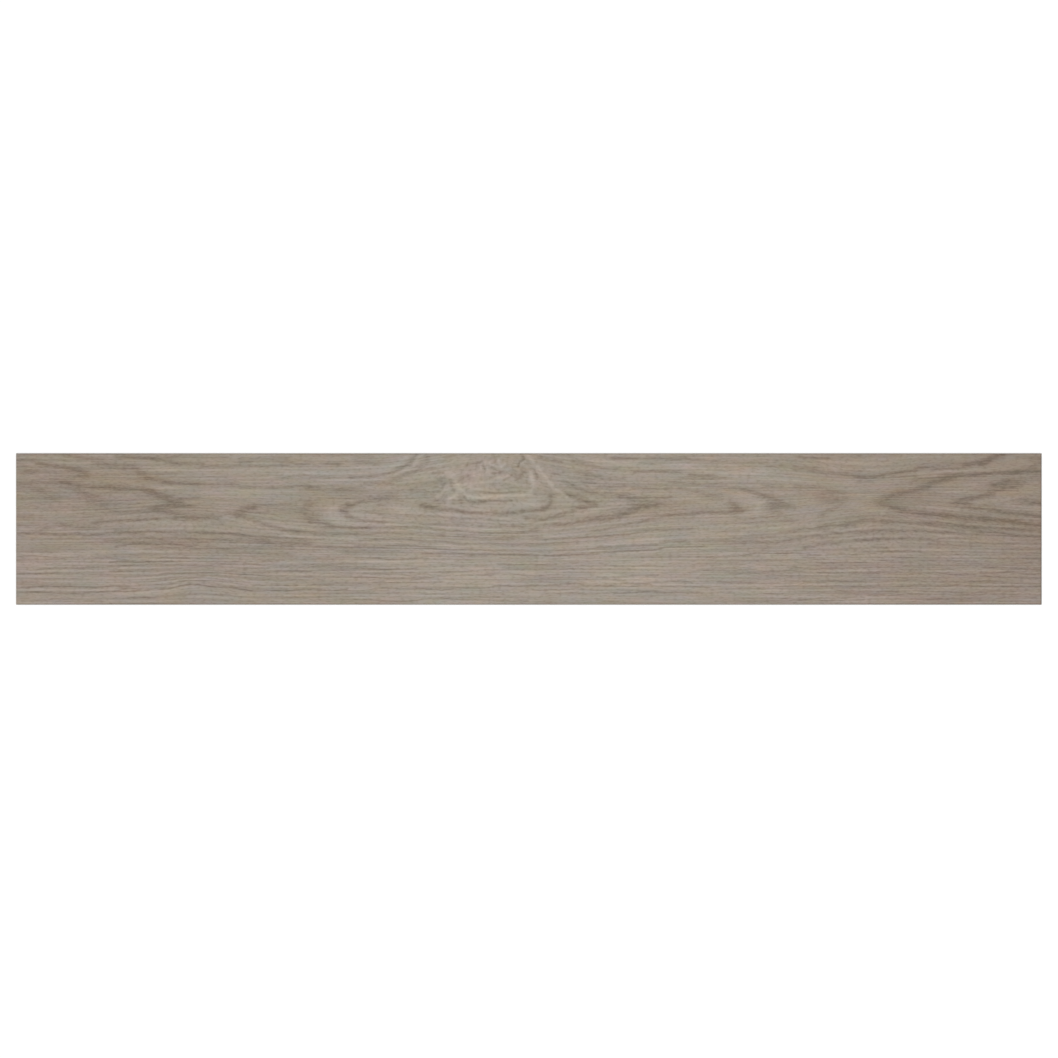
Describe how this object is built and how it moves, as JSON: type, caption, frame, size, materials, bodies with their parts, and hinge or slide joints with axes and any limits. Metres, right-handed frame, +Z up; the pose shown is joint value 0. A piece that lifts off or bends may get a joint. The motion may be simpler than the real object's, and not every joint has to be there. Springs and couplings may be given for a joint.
{
  "type": "vinyl floor plank",
  "caption": "Flat rectangular glue-down vinyl floor plank with a grey-beige oak-look face, finely bevelled top edges and a plain backing, laid edge to edge as floor covering.",
  "frame": {"origin": "middle of the back, the face that is stuck down to the floor", "axes": "+X along the plank's length, +Y across its width, +Z up out of the wear face"},
  "size_m": [1.22, 0.18, 0.0025],
  "materials": {
    "vinyl": "matt embossed oak print in taupe grey under a clear wear layer, grey vinyl sides and back"
  },
  "bodies": {
    "root": {"plank": "vinyl"}
  },
  "joints": []
}
